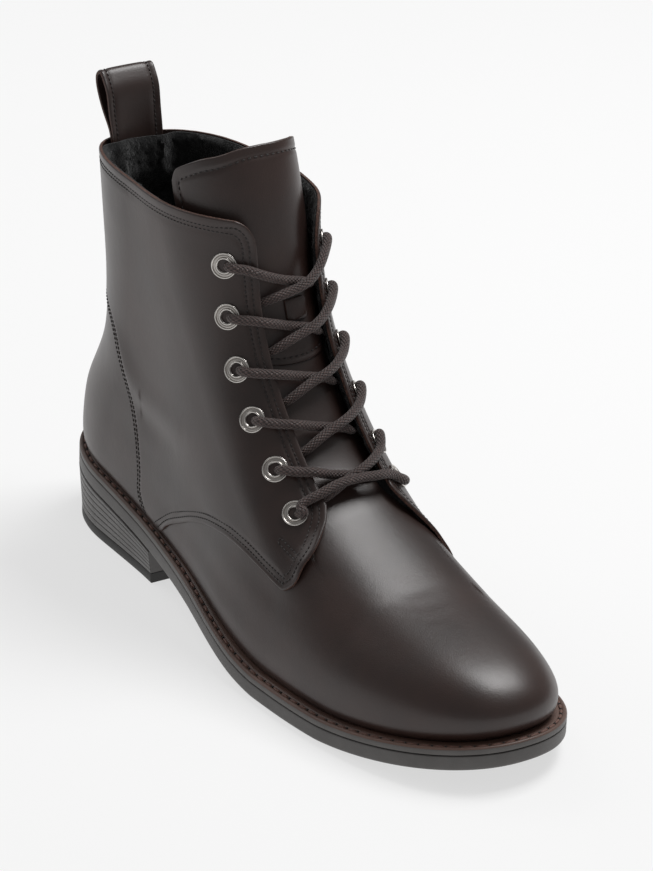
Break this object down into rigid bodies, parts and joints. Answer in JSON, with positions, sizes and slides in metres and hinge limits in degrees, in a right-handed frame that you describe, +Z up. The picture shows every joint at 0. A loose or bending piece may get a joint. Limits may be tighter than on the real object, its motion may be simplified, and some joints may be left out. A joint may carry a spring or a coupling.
{
  "type": "leather ankle boot",
  "caption": "Right lace-up ankle boot in smooth dark leather with a stepped quarter, padded tongue, pull loop, welted rubber sole and stacked heel.",
  "frame": {"origin": "on the floor under the middle of the sole's outline", "axes": "+X towards the toe, +Y towards the wearer's left (inner side of this right boot), +Z up"},
  "size_m": [0.2848, 0.0926, 0.1874],
  "materials": {
    "upper_leather": "smooth semi-gloss",
    "lining_cloth": "fleece",
    "welt": "satin with stitching",
    "sole_rubber": "satin",
    "lift_rubber": "matt",
    "eyelet_metal": "polished",
    "lace_cord": "waxed braid"
  },
  "bodies": {
    "root": {"upper": "upper_leather", "tongue": "upper_leather", "tongue_keeper": "upper_leather", "pull_loop": "upper_leather", "insole": "lining_cloth", "midsole": "welt", "outsole": "sole_rubber", "heel": "sole_rubber", "heel_lift": "lift_rubber", "eyelet_lateral_1": "eyelet_metal", "eyelet_lateral_2": "eyelet_metal", "eyelet_lateral_3": "eyelet_metal", "eyelet_lateral_4": "eyelet_metal", "eyelet_lateral_5": "eyelet_metal", "eyelet_lateral_6": "eyelet_metal", "eyelet_medial_1": "eyelet_metal", "eyelet_medial_2": "eyelet_metal", "eyelet_medial_3": "eyelet_metal", "eyelet_medial_4": "eyelet_metal", "eyelet_medial_5": "eyelet_metal", "eyelet_medial_6": "eyelet_metal", "lace_crossing_1": "lace_cord", "lace_crossing_2": "lace_cord", "lace_crossing_3": "lace_cord", "lace_crossing_4": "lace_cord", "lace_crossing_5": "lace_cord", "lace_bar": "lace_cord"}
  },
  "joints": []
}
